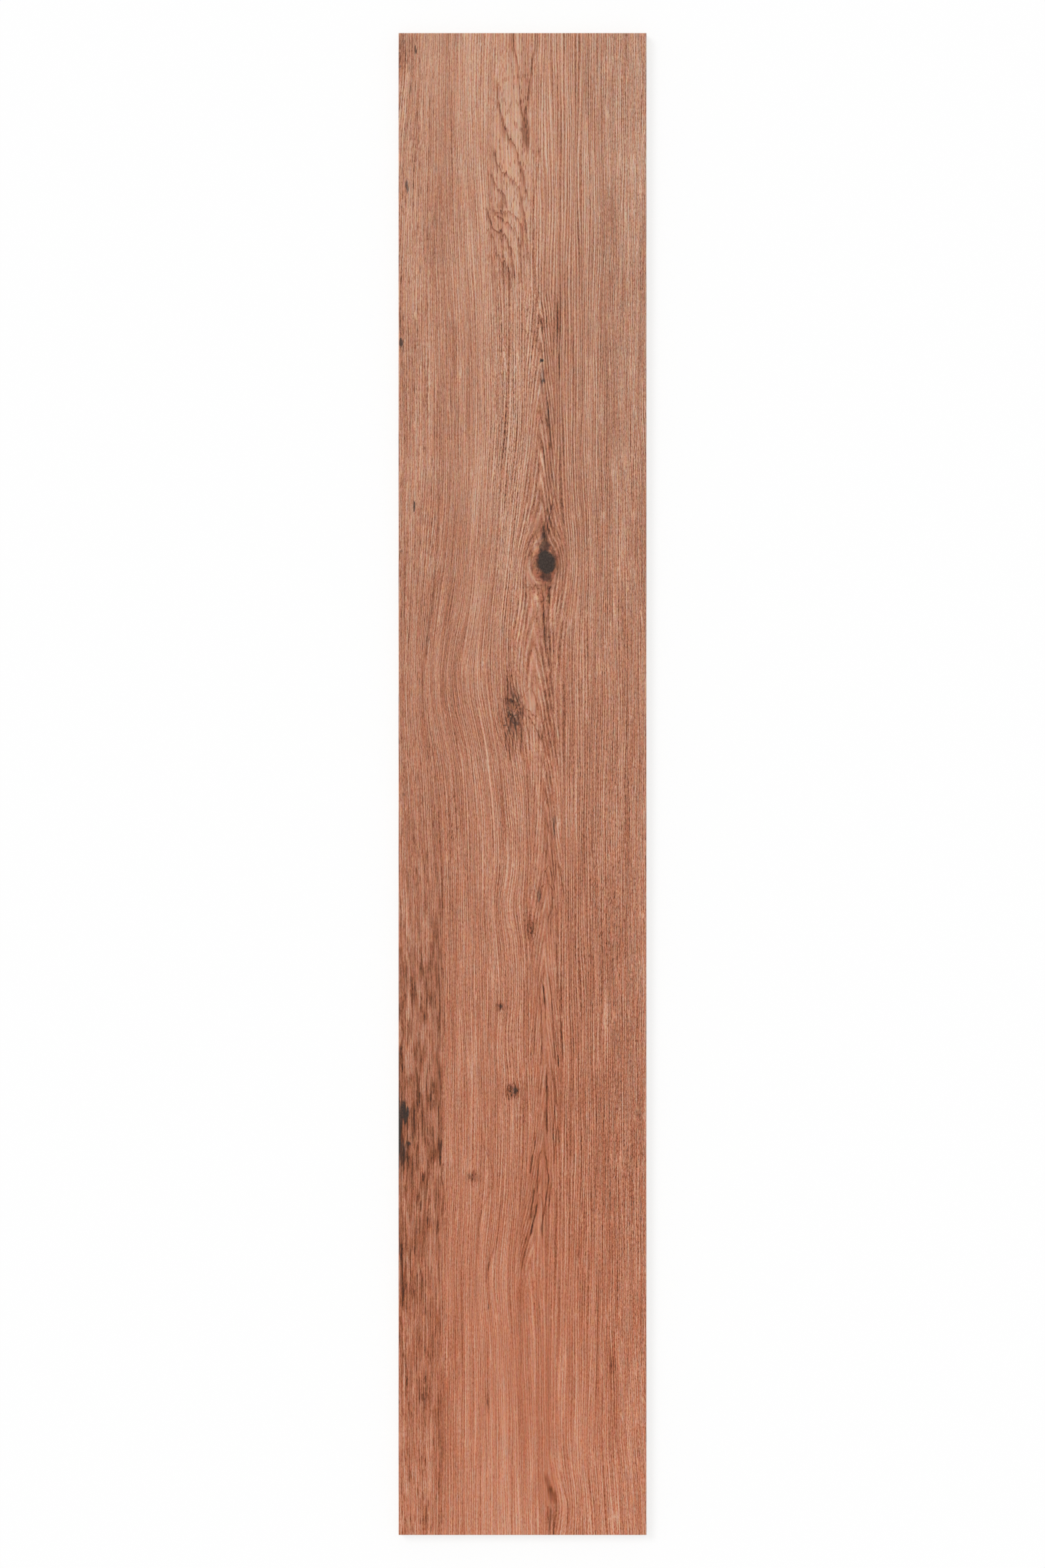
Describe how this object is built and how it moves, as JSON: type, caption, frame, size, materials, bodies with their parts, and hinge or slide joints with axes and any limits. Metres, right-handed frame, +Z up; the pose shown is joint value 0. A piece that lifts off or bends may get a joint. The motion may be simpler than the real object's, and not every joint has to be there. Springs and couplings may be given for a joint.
{
  "type": "wood look porcelain plank tile",
  "caption": "Long flat rectified porcelain plank tile with a printed wood grain face, fine bevelled edges and a ribbed waffle back for bedding in adhesive.",
  "frame": {"origin": "middle of the back, on the plane of the rib crests", "axes": "+X across the plank, +Y along it, +Z up from the back to the printed face"},
  "size_m": [0.198, 1.2, 0.01],
  "materials": {
    "printed_porcelain": "matt glazed wood grain print in reddish tan, on a bare sandy beige body at the edges and back"
  },
  "bodies": {
    "root": {"plank_tile": "printed_porcelain"}
  },
  "joints": []
}
